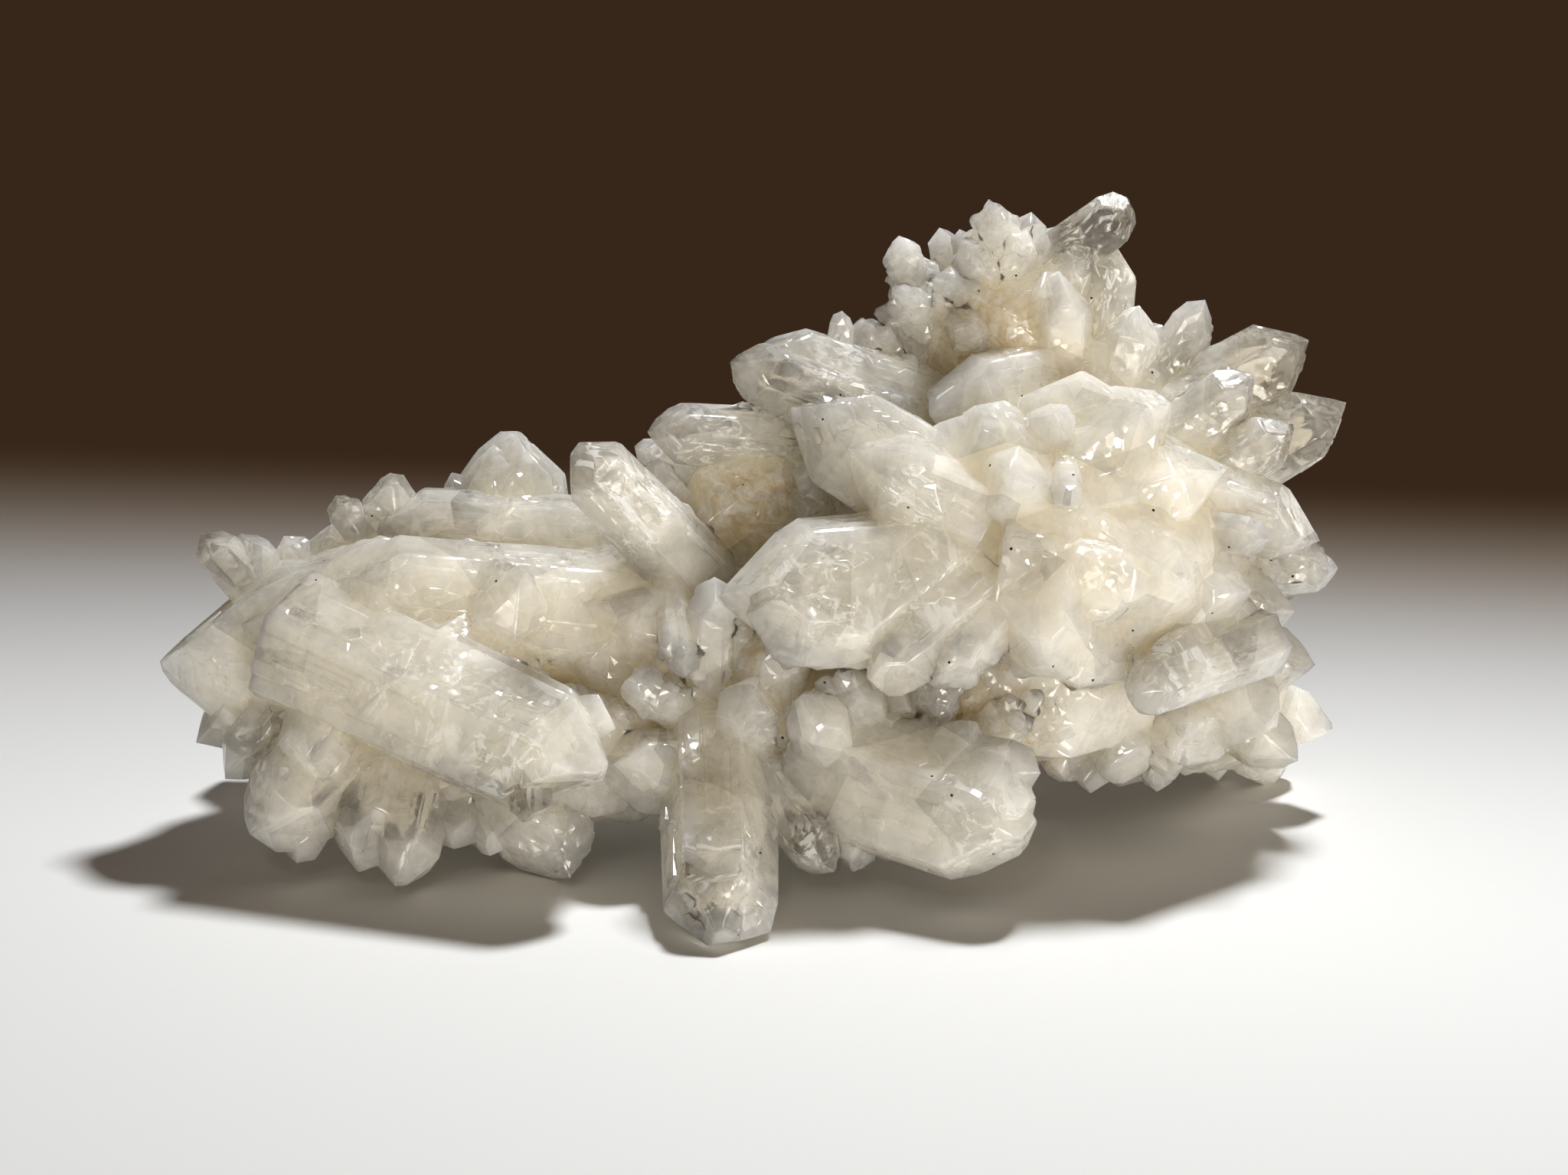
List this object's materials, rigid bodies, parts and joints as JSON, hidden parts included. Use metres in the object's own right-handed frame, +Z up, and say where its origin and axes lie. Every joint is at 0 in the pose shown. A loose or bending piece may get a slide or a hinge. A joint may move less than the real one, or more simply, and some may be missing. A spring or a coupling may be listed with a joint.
{
  "type": "quartz crystal cluster",
  "caption": "Hand-sized cluster of milky to clear quartz crystals grown together from one irregular core, with a broken front crystal that it stands on.",
  "frame": {"origin": "middle of the bounding box, on the table it stands on", "axes": "+Z up, +X along the cluster's length towards its taller lobe, -Y towards the side with the long front crystal"},
  "size_m": [0.0788, 0.0458, 0.0421],
  "materials": {
    "quartz": "milky, see-through quartz with clear tips and iron-stained hollows; natural faces, chipped edges"
  },
  "bodies": {
    "root": {"quartz_cluster": "quartz"}
  },
  "joints": []
}
